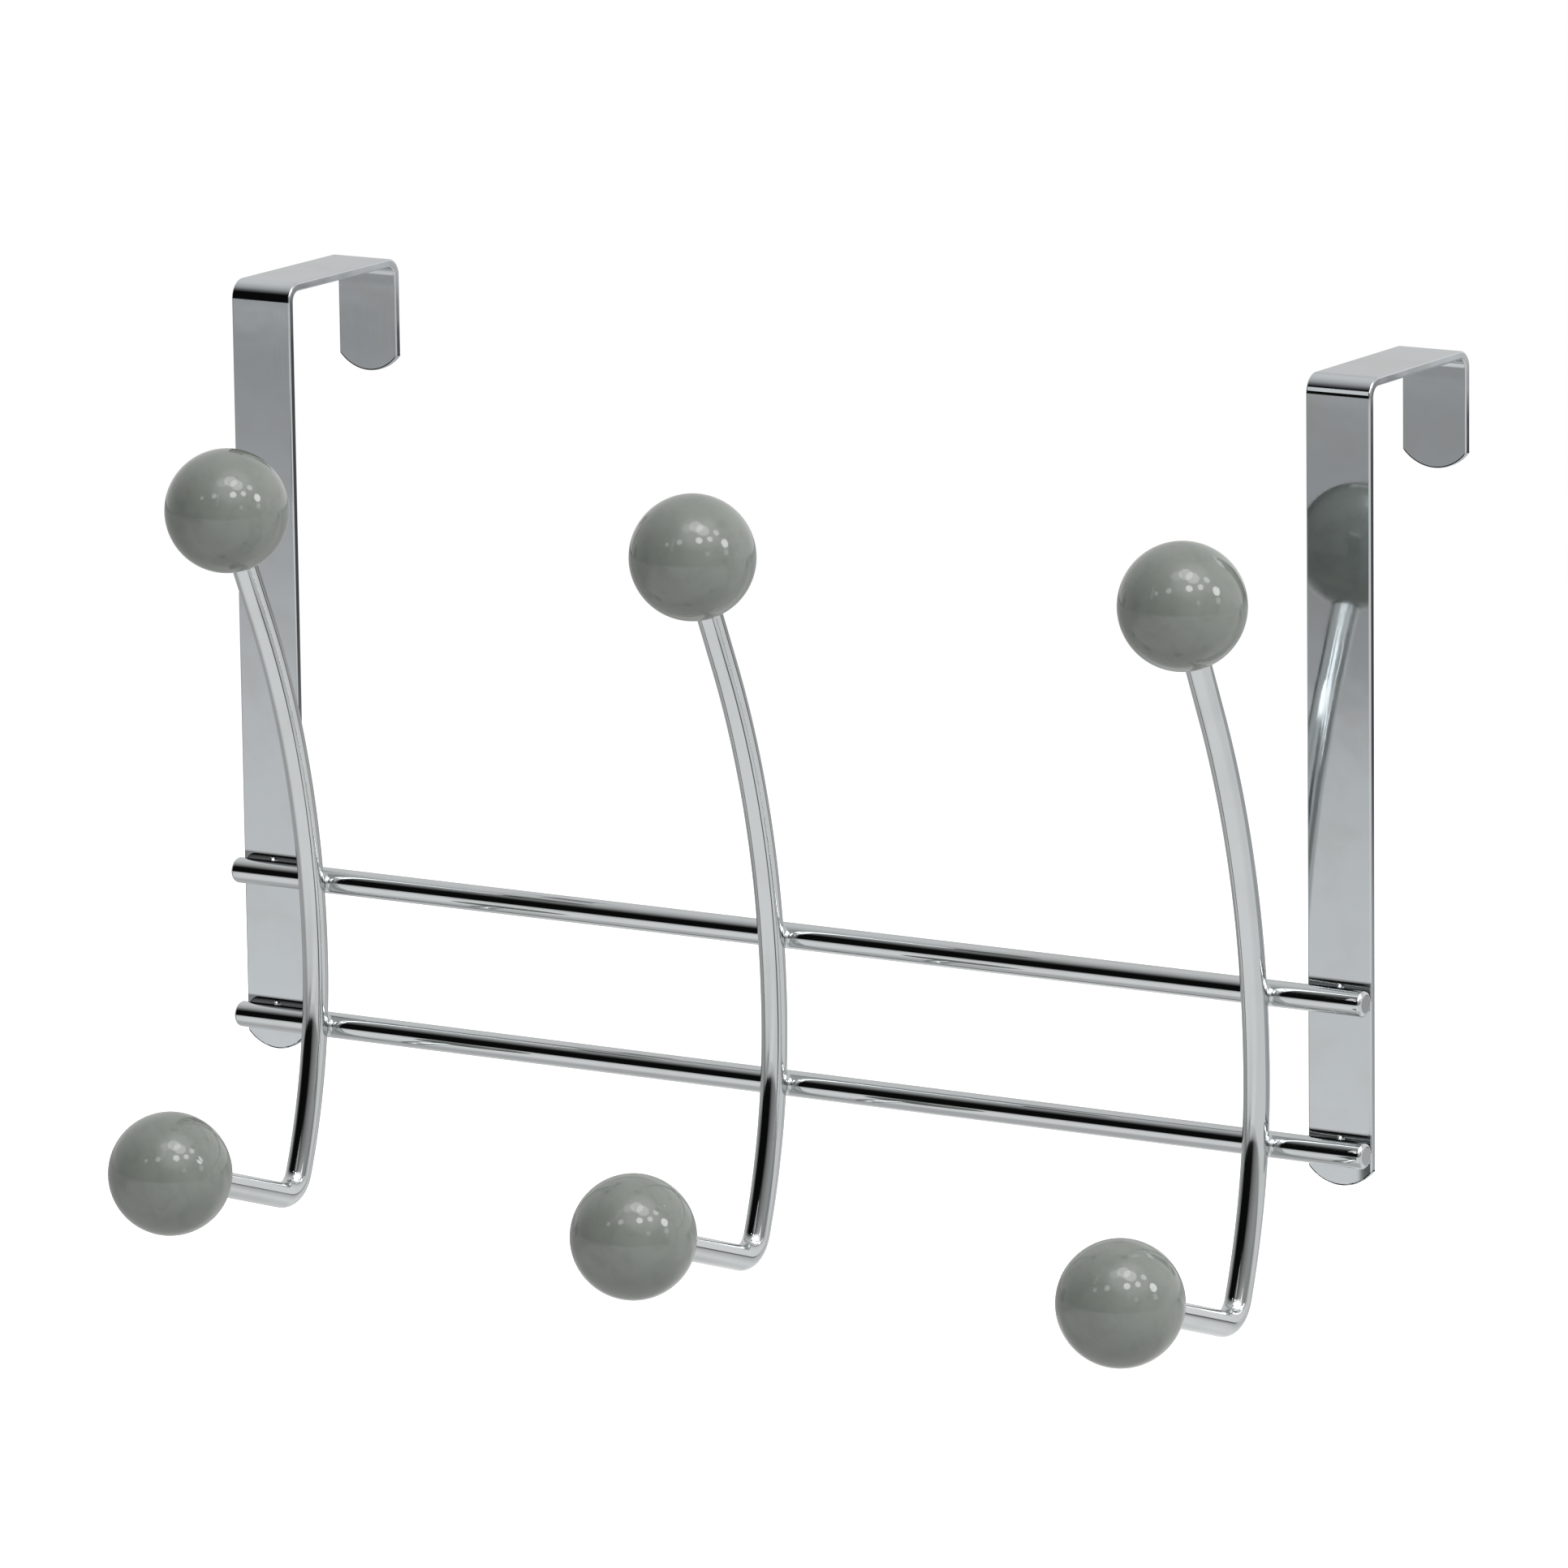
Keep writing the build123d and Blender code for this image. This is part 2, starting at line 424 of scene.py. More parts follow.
# %% Make the hooks
WIRE_SIDES = 64
END_RINGS = 8
PAST_ROUNDING = 1.01
hook_places = ("left", "middle", "right")
node_low, node_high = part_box("hook_middle")
wire_radius = (node_high.x - node_low.x) / 2
rearmost = max(hook_points, key=lambda point: point.y)
lowest = min(hook_points, key=lambda point: point.z)
hang = Vector((0, node_high.y - wire_radius - rearmost.y, node_low.z + wire_radius - lowest.z))


def end_steps(rounding):
    """Distances from a cut end at which the rounded edge needs a ring."""
    return [rounding * (1 - cos(step * pi / 2 / END_RINGS)) for step in range(END_RINGS + 1)]


def with_round_ends(points, rounding):
    """Add the rings of the rounded ends to a path with straight ends."""
    first = (points[1] - points[0]).normalized()
    last = (points[-2] - points[-1]).normalized()
    inner = [
        point for point in points
        if min((point - points[0]).length, (point - points[-1]).length) > PAST_ROUNDING * rounding
    ]
    head = [points[0] + first * step for step in end_steps(rounding)]
    tail = [points[-1] + last * step for step in reversed(end_steps(rounding))]
    return head + inner + tail


def path_object(name, points):
    """Make a curve object of straight runs through the points."""
    curve = bpy.data.curves.new(name, "CURVE")
    curve.dimensions = "3D"
    spline = curve.splines.new("POLY")
    spline.points.add(len(points) - 1)
    for place, point in zip(spline.points, points):
        place.co = (*point, 1)
    return show(name, curve)


for place in hook_places:
    node = f"hook_{place}"
    offset = hang + Vector((centre_of(node).x, 0, 0))
    hung_points = [point + offset for point in hook_points]
    path = path_object(f"{node}_path", with_round_ends(hung_points, wire_end_rounding))
    use_tree(path, wire_tree, {
        "Wire radius": wire_radius, "End rounding": wire_end_rounding, "Sides": WIRE_SIDES,
        "Finish": chrome_hook})
    stand_for(settle(path, f"polished_{node}"), node)

# %% [markdown]
# Where wires cross they are pressed together and fused, which leaves a small concave fillet all round the
# contact. Modelling it by hand would be fiddly, and a boolean would spoil the smooth normals. A ball that
# rolls in the gap gives it by rule: it touches both wires, and the fillet is the arc between the two
# touching points. Each fillet is closed inside the metal, so it is a whole lump and not a loose skin.

# %% Helpers for weld fillets
FILLET_ARC = 10
SHARP_CREASE = radians(40)


def arc_between(centre, start, end, radius):
    """Points on an arc round a centre from one unit direction to another."""
    angle = acos(max(-1.0, min(1.0, start.dot(end))))
    shares = [step / FILLET_ARC for step in range(FILLET_ARC + 1)]
    return [
        centre + radius * (sin((1 - share) * angle) * start + sin(share * angle) * end) / sin(angle)
        for share in shares
    ]


def join_loops(lump, loops):
    """Join closed loops of points, one after the other, into a lump with closed ends."""
    rings = [[lump.verts.new(point) for point in loop] for loop in loops]
    for ring, after in zip(rings, rings[1:]):
        for step in range(len(ring)):
            lump.faces.new((ring[step - 1], ring[step], after[step], after[step - 1]))
    for end in (rings[0], rings[-1]):
        lump.faces.new(end)


def weld_object(name, stacks):
    """Make an object of one or more lumps, smooth on the outside and sharp where it enters the metal."""
    lump = bmesh.new()
    for loops in stacks:
        join_loops(lump, loops)
    bmesh.ops.recalc_face_normals(lump, faces=lump.faces)
    mesh = bpy.data.meshes.new(name)
    lump.to_mesh(mesh)
    lump.free()
    mesh.shade_smooth()
    mesh.set_sharp_from_angle(angle=SHARP_CREASE)
    return show(name, mesh)


print("weld helpers ready")

# %% [markdown]
# Between a rod and a hook the rolling ball goes all the way round. Its centre has to be one reach from the
# rod's axis and one reach from the wire's, and a few halvings find how far out that is in each direction.
# Between a rod and a strap only a short bead above and below is fused, which fades out at both ends.

# %% Weld fillets
rod_radius = wire_radius
weld_sink = 0.15 * MILLIMETRE
hook_fillet_radius = 0.9 * MILLIMETRE
FILLET_TURNS = 72
HALVINGS = 40


def hook_fillet(axis_gap):
    """Fillet between a rod along X through the origin and a wire along Z in front of it."""
    rod_reach = rod_radius + hook_fillet_radius
    wire_reach = wire_radius + hook_fillet_radius
    rows = []
    for turn in range(FILLET_TURNS):
        angle = 2 * pi * turn / FILLET_TURNS
        near, far = 0.0, min(rod_reach, wire_reach)
        for _ in range(HALVINGS):
            out = (near + far) / 2
            x, z = out * cos(angle), out * sin(angle)
            if sqrt(rod_reach**2 - z**2) + sqrt(wire_reach**2 - x**2) > axis_gap:
                near = out
            else:
                far = out
        ball = Vector((x, -sqrt(rod_reach**2 - z**2), z))
        to_rod = (Vector((x, 0, 0)) - ball).normalized()
        to_wire = (Vector((0, -axis_gap, z)) - ball).normalized()
        rows.append(arc_between(ball, to_rod, to_wire, hook_fillet_radius))
    return weld_object("hook_fillet", [list(zip(*rows))])


def strap_beads():
    """Two short beads, above and below a rod along X, that run out on the strap behind it."""
    half_length = 1.0 * MILLIMETRE
    fullest = 1.2 * MILLIMETRE
    thinnest = 0.02
    steps = 16
    strap_gap = rod_radius - weld_sink
    inside = strap_gap + weld_sink / 2
    stacks = []
    for side in (1, -1):
        loops = []
        for step in range(steps + 1):
            share = cos(pi * step / steps)
            radius = fullest * (1 - (1 - thinnest) * share**2)
            ball_y = strap_gap - radius
            ball_z = side * sqrt((rod_radius + radius) ** 2 - ball_y**2)
            ball = Vector((half_length * share, ball_y, ball_z))
            to_rod = (Vector((ball.x, 0, 0)) - ball).normalized()
            arc = arc_between(ball, to_rod, Vector((0, 1, 0)), radius)
            loops.append([*arc, Vector((ball.x, inside, 0))])
        stacks.append(loops)
    return weld_object("strap_beads", stacks)


print(f"weld fillets: ball radius {hook_fillet_radius / MILLIMETRE} mm")

# %% [markdown]
# A rod is the same drawn wire with a fillet at each crossing. The fillets repeat, so they are instances on
# points: three crossings with hooks, turned a little because the hook leans there, and two with the straps.

# %% Tree for a rod with its welds
rod_tree, sizes = new_geometry_tree(
    "welded_rod",
    {"Wire radius": "Float", "End rounding": "Float", "Sides": "Int", "Finish": "Material",
     "Hook fillet": "Object", "Hook crossings": "Object", "Hook lean": "Float",
     "Strap beads": "Object", "Strap crossings": "Object"},
)
rod_wire = add_node(rod_tree, "GeometryNodeGroup", node_tree=wire_tree)
for name in ("Geometry", "Wire radius", "End rounding", "Sides", "Finish"):
    rod_tree.links.new(sizes[name], rod_wire.inputs[name])
lean = add_node(rod_tree, "ShaderNodeCombineXYZ", {"X": sizes["Hook lean"]}).outputs[0]
joined = add_node(rod_tree, "GeometryNodeJoinGeometry")
rod_tree.links.new(rod_wire.outputs[0], joined.inputs[0])
for lump, crossings, turn in (
    ("Hook fillet", "Hook crossings", lean), ("Strap beads", "Strap crossings", (0, 0, 0))
):
    weld = add_node(rod_tree, "GeometryNodeObjectInfo", {"Object": sizes[lump]})
    places = add_node(rod_tree, "GeometryNodeObjectInfo", {"Object": sizes[crossings]})
    spread = add_node(
        rod_tree, "GeometryNodeInstanceOnPoints",
        {"Points": places.outputs["Geometry"], "Instance": weld.outputs["Geometry"], "Rotation": turn})
    rod_tree.links.new(spread.outputs[0], joined.inputs[0])
end_geometry_tree(rod_tree, joined.outputs[0], sizes["Finish"])
print("welded_rod tree:", len(rod_tree.nodes), "nodes")

# %% [markdown]
# Each rod lies on the front of the straps, sunk by the weld. A hook touches it on one of its bows, and the
# line from the bow's centre to the rod's axis passes through that contact. So it gives both the gap that
# the fillet bridges and the angle that the hook leans by.

# %% Make the rods
rod_end_rounding = 1.0 * MILLIMETRE
ROD_RINGS = 80
strap_places = ("left", "right")
rod_y = strap_front - rod_radius + weld_sink
bow_radii = {"upper_cross_rod": upper_bow[0], "lower_cross_rod": lower_bow[0]}


def crossing_points(name, nodes, y, z):
    """One loose point for each node that a rod crosses."""
    mesh = bpy.data.meshes.new(name)
    mesh.from_pydata([(centre_of(node).x, y, z) for node in nodes], [], [])
    return show(name, mesh)


for node, bow_radius in bow_radii.items():
    low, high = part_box(node)
    rod_z = centre_of(node).z
    bow_centre = rearmost + hang - Vector((0, bow_radius, 0))
    to_centre = bow_centre - Vector((0, rod_y, rod_z))
    axis_gap = to_centre.length - bow_radius
    lean_angle = atan(to_centre.z / to_centre.y)
    ring_step = (high.x - low.x) / ROD_RINGS
    rings = [Vector((low.x + ring_step * ring, rod_y, rod_z)) for ring in range(ROD_RINGS + 1)]
    path = path_object(f"{node}_path", with_round_ends(rings, rod_end_rounding))
    tools = {
        "Hook fillet": hook_fillet(axis_gap),
        "Hook crossings": crossing_points(
            "hook_crossings", [f"hook_{p}" for p in hook_places], rod_y, rod_z),
        "Strap beads": strap_beads(),
        "Strap crossings": crossing_points(
            "strap_crossings", [f"door_strap_{p}" for p in strap_places], rod_y, rod_z),
    }
    use_tree(path, rod_tree, {
        "Wire radius": rod_radius, "End rounding": rod_end_rounding, "Sides": WIRE_SIDES,
        "Finish": chrome_rod, "Hook lean": lean_angle, **tools})
    stand_for(settle(path, f"polished_{node}"), node)
    for tool in tools.values():
        bpy.data.objects.remove(tool)
    print(f"  hooks lean {degrees(lean_angle):.2f} degrees, axes {axis_gap / MILLIMETRE:.3f} mm apart")

# %% [markdown]
# A strap starts as a flat blank with rounded tips, as the maker cuts it from strip. Drawing the folded
# shape directly would make the tips and edges awkward. Here the blank is a grid, Solidify gives it its
# thickness, a Geometry Nodes tree folds it, and Bevel softens all edges last.

# %% Tree that folds a strip
FOLD_SEGMENTS = 64

fold_tree, sizes = new_geometry_tree(
    "folded_strip",
    {"Fold line": "Object", "Fold radius": "Float", "Across": "Float", "Finish": "Material"},
)
fold_line = add_node(fold_tree, "GeometryNodeObjectInfo", {"Object": sizes["Fold line"]})
fold_path = add_node(
    fold_tree, "GeometryNodeFilletCurve",
    {"Curve": fold_line.outputs["Geometry"], "Radius": sizes["Fold radius"], "Count": FOLD_SEGMENTS},
    mode="POLY").outputs[0]
flat = add_node(
    fold_tree, "ShaderNodeSeparateXYZ",
    {0: add_node(fold_tree, "GeometryNodeInputPosition").outputs[0]}).outputs
sample = add_node(
    fold_tree, "GeometryNodeSampleCurve", {"Curves": fold_path, "Length": flat["Y"]},
    mode="LENGTH", use_all_curves=True)
outward = add_node(
    fold_tree, "ShaderNodeVectorMath", {0: sample.outputs["Tangent"], 1: (-1, 0, 0)},
    operation="CROSS_PRODUCT").outputs[0]
raised = add_node(
    fold_tree, "ShaderNodeVectorMath", {0: outward, "Scale": flat["Z"]}, operation="SCALE").outputs[0]
across = add_node(
    fold_tree, "ShaderNodeCombineXYZ",
    {"X": math_node(fold_tree, "ADD", flat["X"], sizes["Across"])}).outputs[0]
lifted = add_node(
    fold_tree, "ShaderNodeVectorMath", {0: sample.outputs["Position"], 1: raised},
    operation="ADD").outputs[0]
place = add_node(fold_tree, "ShaderNodeVectorMath", {0: lifted, 1: across}, operation="ADD").outputs[0]
folded = add_node(
    fold_tree, "GeometryNodeSetPosition", {"Geometry": sizes["Geometry"], "Position": place}).outputs[0]
end_geometry_tree(fold_tree, folded, sizes["Finish"])
print("folded_strip tree:", len(fold_tree.nodes), "nodes")

# %% [markdown]
# The blank is as long as the three runs of the folded strap, less what the two folds save. Its rows of
# points lie close together at the folds and the tips, where the strip curves, and far apart on the flats.

# %% Make the straps
strap_thickness = 2.0 * MILLIMETRE
strap_edge_radius = 0.4 * MILLIMETRE
fold_radius = 2.4 * MILLIMETRE + strap_thickness / 2
lip_drop = 26.2 * MILLIMETRE
tip_rise = 4.0 * MILLIMETRE
TIP_BLEND = 12 * MILLIMETRE
TIP_ROWS = 16
TIP_CROWDING = 1.5
FOLD_ROWS = 32
FLAT_STEP = 3 * MILLIMETRE
COLUMNS = 22
EDGE_SEGMENTS = 4


def blank_rows(length, folds):
    """Row places along a blank: wide apart on flat stretches, close at the folds and tips."""
    rows = [TIP_BLEND * (step / TIP_ROWS) ** TIP_CROWDING for step in range(TIP_ROWS + 1)]
    rows += [length - row for row in rows]
    edges = [TIP_BLEND]
    for start, end in folds:
        rows += [start + (end - start) * step / FOLD_ROWS for step in range(FOLD_ROWS + 1)]
        edges += [start, end]
    edges.append(length - TIP_BLEND)
    for start, end in zip(edges[::2], edges[1::2]):
        steps = ceil((end - start) / FLAT_STEP)
        rows += [start + (end - start) * step / steps for step in range(steps + 1)]
    return sorted({round(row, 7) for row in rows})


def strap_blank(name, width, length, folds):
    """Flat strip with both tips cut to an arc."""
    tip_radius = (width**2 / 4 + tip_rise**2) / (2 * tip_rise)
    points = []
    for row in blank_rows(length, folds):
        for column in range(COLUMNS + 1):
            x = width * (column / COLUMNS - 0.5)
            rise = tip_radius - sqrt(tip_radius**2 - x**2)
            near_start = max(0.0, 1 - row / TIP_BLEND)
            near_end = max(0.0, 1 - (length - row) / TIP_BLEND)
            points.append((x, row + rise * (near_start - near_end), 0))
    mesh = bpy.data.meshes.new(name)
    stride = COLUMNS + 1
    faces = [
        (row * stride + column, row * stride + column + 1,
         (row + 1) * stride + column + 1, (row + 1) * stride + column)
        for row in range(len(points) // stride - 1) for column in range(COLUMNS)
    ]
    mesh.from_pydata(points, [], faces)
    return show(name, mesh)


for side in strap_places:
    node = f"door_strap_{side}"
    low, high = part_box(node)
    half = strap_thickness / 2
    corners = [
        Vector((0, low.y + half, low.z)), Vector((0, low.y + half, high.z - half)),
        Vector((0, high.y - half, high.z - half)), Vector((0, high.y - half, -lip_drop)),
    ]
    runs = [(b - a).length for a, b in zip(corners, corners[1:])]
    saved = 2 * fold_radius - pi / 2 * fold_radius
    length = sum(runs) - 2 * saved
    first_fold = runs[0] - fold_radius
    second_fold = runs[0] - saved + runs[1] - fold_radius
    folds = [(start, start + pi / 2 * fold_radius) for start in (first_fold, second_fold)]
    line = path_object(f"{node}_line", corners)
    blank = strap_blank(f"{node}_blank", high.x - low.x, length, folds)
    thicken = blank.modifiers.new("thickness", "SOLIDIFY")
    thicken.thickness = strap_thickness
    thicken.offset = 0
    use_tree(blank, fold_tree, {
        "Fold line": line, "Fold radius": fold_radius, "Across": centre_of(node).x, "Finish": chrome_strap})
    soften = blank.modifiers.new("soft edges", "BEVEL")
    soften.width = strap_edge_radius
    soften.segments = EDGE_SEGMENTS
    soften.limit_method = "ANGLE"
    soften.angle_limit = SHARP_CREASE
    soften.use_clamp_overlap = False
    soften.harden_normals = True
    stand_for(settle(blank, f"polished_{node}"), node)
    bpy.data.objects.remove(line)

# %% [markdown]
# A knob is a moulded ball with a blind socket. Spinning its half outline gives the ball, its broken mouth
# edge and the socket at once, where an added sphere would have none of these.

# %% Make the knobs
socket_depth = 16.0 * MILLIMETRE
socket_clearance = 0.05 * MILLIMETRE
mouth_chamfer = 0.4 * MILLIMETRE
BALL_STEPS = 64
SPIN_STEPS = 96
SEAM_GAP = 1e-6
MOUTH_CREASE = radians(30)


def knob_outline(ball_radius):
    """Half outline of a knob in the X-Z plane, with its socket opening downwards."""
    socket = wire_radius + socket_clearance
    mouth = socket + mouth_chamfer
    mouth_height = -sqrt(ball_radius**2 - mouth**2)
    socket_end = socket_depth - ball_radius
    start = acos(mouth / ball_radius)
    ball = [
        (ball_radius * cos(angle), ball_radius * sin(angle))
        for angle in (-start + (start + pi / 2) * step / BALL_STEPS for step in range(BALL_STEPS))
    ]
    inside = [(0, socket_end), (socket, socket_end), (socket, mouth_height + mouth_chamfer)]
    return [*ball, (0, ball_radius)], [*inside, (mouth, mouth_height)]


def knob_mesh(name, centre, outward, ball_radius):
    """Spin the outline, merge its seam and poles, and set it in place."""
    turned = bmesh.new()
    for outline in knob_outline(ball_radius):
        verts = [turned.verts.new((x, 0, z)) for x, z in outline]
        for a, b in zip(verts, verts[1:]):
            turned.edges.new((a, b))
    bmesh.ops.spin(
        turned, geom=turned.verts[:] + turned.edges[:], axis=(0, 0, 1), cent=(0, 0, 0),
        angle=2 * pi, steps=SPIN_STEPS)
    bmesh.ops.remove_doubles(turned, verts=turned.verts, dist=SEAM_GAP)
    bmesh.ops.recalc_face_normals(turned, faces=turned.faces)
    tilt = Vector((0, 0, 1)).rotation_difference(outward).to_matrix().to_4x4()
    turned.transform(Matrix.Translation(centre) @ tilt)
    mesh = bpy.data.meshes.new(name)
    turned.to_mesh(mesh)
    turned.free()
    mesh.shade_smooth()
    mesh.set_sharp_from_angle(angle=MOUTH_CREASE)
    mesh.materials.append(knob_grey)
    return mesh


tip_directions = {
    "upper": (hook_points[0] - hook_points[1]).normalized(),
    "lower": (hook_points[-1] - hook_points[-2]).normalized(),
}
for level, outward in tip_directions.items():
    for place in hook_places:
        node = f"knob_{level}_{place}"
        low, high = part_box(node)
        name = f"moulded_{node}"
        knob = show(name, knob_mesh(name, (low + high) / 2, outward, (high.x - low.x) / 2))
        stand_for(knob, node)

# %% [markdown]
# A chrome rack looks like the room around it. The room is a plain studio with white paper under the rack. A
# disc of paper is enough, as wide as the studio, because the camera only sees the part round the rack.

# %% Paper floor
FLOOR_DROP = 122 * MILLIMETRE
FLOOR_RADIUS = 3.0
FLOOR_SEGMENTS = 96

disc = bmesh.new()
bmesh.ops.create_circle(disc, cap_ends=True, radius=FLOOR_RADIUS, segments=FLOOR_SEGMENTS)
bmesh.ops.translate(disc, verts=disc.verts, vec=(0, 0, cad_low.z - FLOOR_DROP))
floor_mesh = bpy.data.meshes.new("paper_floor")
disc.to_mesh(floor_mesh)
disc.free()
floor = show("paper_floor", floor_mesh)
print("paper floor", round((cad_low.z - FLOOR_DROP) / MILLIMETRE), "mm from the door's top edge")

# %% [markdown]
# In a studio the paper is not equally bright all over, and the flat straps show that as slow bands of grey.
# Their fronts mirror a strip of paper in front of the rack, on its left, and their narrow sides mirror a
# lane behind it, on its right. So both places get a row of greys by distance, and what only the right strap
# mirrors gets a dim patch of its own. The paper also dims far in front, to both sides, far out, and under
# the rack itself, where a soft shadow is painted. Each reason is one factor, and the factors are
# multiplied.

# %% What the chrome sees of the paper
FRONT_GREYS = {
    0: 1.0, 0.42: 1.0, 0.67: 0.88, 0.95: 0.8, 1.2: 0.62, 1.4: 0.5, 1.5: 0.47, 1.61: 0.41, 1.68: 0.58,
    1.9: 0.66, 2.1: 0.76, 2.25: 0.7, 2.35: 0.5, 2.45: 0.35, 2.6: 0.2}
FRONT_SLOPE = 0.53
FRONT_EDGE = (0.25, 0.6)
LANE_GREYS = {0.1: 1.0, 0.25: 0.8, 0.45: 0.7, 0.7: 0.55, 0.85: 0.5, 1.0: 0.2, 1.1: 0.1, 1.7: 0.1, 1.8: 1.0}
LANE_SLOPE = 0.625
LANE_EDGE = (0.11, 0.17)
PATCH_GREYS = {1.13: 1.0, 1.21: 0.76, 1.42: 0.76, 1.5: 1.0}
PATCH_SLOPE = 0.554
PATCH_OFFSET = 0.15
PATCH_EDGE = (0.1, 0.2)
FAR_FRONT = (-1.6, -1.72)
FAR_FRONT_EDGE = (-0.25, -0.05)
FAR_FRONT_LOSS = 0.2
LEFT_SLOPE = 0.7
SHADE_SQUEEZE = 0.3
SHADE_Y = -0.035

paper, tree, shader, position = begin_finish("paper")
tree.nodes.remove(shader)
place = add_node(tree, "ShaderNodeSeparateXYZ", {0: position}).outputs


def sloped(slope):
    """Distance to the right of a line through the middle of the floor."""
    return math_node(tree, "SUBTRACT", place["X"], math_node(tree, "MULTIPLY", place["Y"], slope))


def greys_by_distance(line, edge, sign, greys):
    """Factor that goes through a row of greys by distance, and fades out beside a line on the floor."""
    share = ramp_between(tree, line, *edge, 1.0, 0.0)
    distance = math_node(tree, "DIVIDE", place["Y"], sign * FLOOR_RADIUS)
    grey = grey_ramp(tree, distance, {metres / FLOOR_RADIUS: grey for metres, grey in greys.items()})
    loss = math_node(tree, "MULTIPLY", share, math_node(tree, "SUBTRACT", 1.0, grey))
    return math_node(tree, "SUBTRACT", 1.0, loss)


front_line = sloped(FRONT_SLOPE)
lane_line = math_node(tree, "ABSOLUTE", sloped(LANE_SLOPE))
patch_line = math_node(tree, "ABSOLUTE", math_node(tree, "SUBTRACT", sloped(PATCH_SLOPE), PATCH_OFFSET))
far_front = ramp_between(tree, place["Y"], *FAR_FRONT, 0.0, 1.0)
front_loss = ramp_between(tree, front_line, *FAR_FRONT_EDGE, 0.0, FAR_FRONT_LOSS)
out = add_node(tree, "ShaderNodeVectorMath", {0: position}, operation="LENGTH").outputs["Value"]
shade_x = math_node(tree, "MULTIPLY", place["X"], SHADE_SQUEEZE)
shade_y = math_node(tree, "SUBTRACT", place["Y"], SHADE_Y)
under_rack = add_node(tree, "ShaderNodeCombineXYZ", {"X": shade_x, "Y": shade_y}).outputs[0]
from_rack = add_node(tree, "ShaderNodeVectorMath", {0: under_rack}, operation="LENGTH").outputs["Value"]
# What each dimming goes by, from and to which distance in metres, and its greys there
dimmings = {
    "left": (sloped(LEFT_SLOPE), -0.12, -0.5, 1.0, 0.5),
    "right": (place["X"], 0.3, 0.6, 1.0, 0.9),
    "far out": (out, 2.0, 2.9, 1.0, 0.5),
    "painted shadow under the rack": (from_rack, 0.05, 0.16, 0.62, 1.0),
}
factors = [
    greys_by_distance(front_line, FRONT_EDGE, -1, FRONT_GREYS),
    greys_by_distance(lane_line, LANE_EDGE, 1, LANE_GREYS),
    greys_by_distance(patch_line, PATCH_EDGE, -1, PATCH_GREYS),
    math_node(tree, "SUBTRACT", 1.0, math_node(tree, "MULTIPLY", far_front, front_loss)),
    *(ramp_between(tree, *dimming) for dimming in dimmings.values()),
]
brightness = factors[0]
for factor in factors[1:]:
    brightness = math_node(tree, "MULTIPLY", brightness, factor)
# For every ray but the camera's, the paper glows with this painted brightness, painted shadow under the
# rack included.
mirrored = add_node(tree, "ShaderNodeEmission", {"Strength": brightness}).outputs[0]
print(len(factors), "factors in the paper's brightness")

# %% [markdown]
# The camera sees the same paper as a white page. Close to the rack that page is a matt surface with some
# light of its own, which drowns the rack's soft shadow. Far out it is plain white, like the background.

# %% What the camera sees of the paper
PAGE_WHITE = (0.85, 0.85, 0.85, 1)
PAGE_GLOW = 0.47
PAGE_NEAR, PAGE_FAR = 0.8, 1.6

lit = add_node(tree, "ShaderNodeBsdfDiffuse", {"Color": PAGE_WHITE}).outputs[0]
top_up = add_node(tree, "ShaderNodeEmission", {"Strength": PAGE_GLOW}).outputs[0]
near = add_node(tree, "ShaderNodeAddShader", {0: lit, 1: top_up}).outputs[0]
far = add_node(tree, "ShaderNodeEmission", {"Strength": 1.0}).outputs[0]
farness = ramp_between(tree, out, PAGE_NEAR, PAGE_FAR, 0.0, 1.0)
seen = add_node(tree, "ShaderNodeMixShader", {"Fac": farness, 1: near, 2: far}).outputs[0]
camera_ray = add_node(tree, "ShaderNodeLightPath").outputs["Is Camera Ray"]
both = add_node(tree, "ShaderNodeMixShader", {"Fac": camera_ray, 1: mirrored, 2: seen}).outputs[0]
tree.links.new(both, tree.nodes["Material Output"].inputs["Surface"])
floor_mesh.materials.append(paper)
print("paper:", len(tree.nodes), "nodes")

# %% [markdown]
# The rest of the room is the world. It is unlit in one direction, the front left, which the rods and the
# folds show as their black line, and it brightens on the way round to the wall behind the rack, with one
# dimmer stretch. The angle to that direction runs through a row of greys. A darker side wall and a bright
# ceiling panel, both on the right, shape the light on the knobs. The camera itself sees plain white.

# %% Studio walls
def direction(azimuth, elevation):
    """Unit direction: azimuth 0 is the front, 90 the right; angles in degrees."""
    around, upwards = radians(azimuth), radians(elevation)
    return Vector((sin(around) * cos(upwards), -cos(around) * cos(upwards), sin(upwards)))


WALL_GREYS = {
    34: 0.005, 45: 0.17, 57: 0.45, 66: 0.6, 77: 0.73, 87: 0.82, 100: 0.86, 111: 0.8, 120: 0.66, 134: 0.85,
    150: 1.0}
DARK_FRONT = direction(-28, 0)
SIDE_WALL = direction(62, 8)
SIDE_WALL_SPREAD = (60, 20)
SIDE_WALL_GREY = 0.5
CEILING_PANEL = direction(57, 55)
CEILING_PANEL_SPREAD = (42, 18)
CEILING_PANEL_BRIGHTNESS = 1.25

world = bpy.data.worlds.new("studio")
world.use_nodes = True
tree = world.node_tree
tree.nodes.clear()
looking = add_node(tree, "ShaderNodeTexCoord").outputs["Generated"]


def closeness(centre):
    """Cosine of the angle between the ray and a direction."""
    return add_node(
        tree, "ShaderNodeVectorMath", {0: looking, 1: centre}, operation="DOT_PRODUCT").outputs["Value"]


def patch(centre, spread, low, high):
    """Value that blends from low to high between an outer and an inner angle round a direction."""
    outer, inner = (cos(radians(angle)) for angle in spread)
    return ramp_between(tree, closeness(centre), outer, inner, low, high)


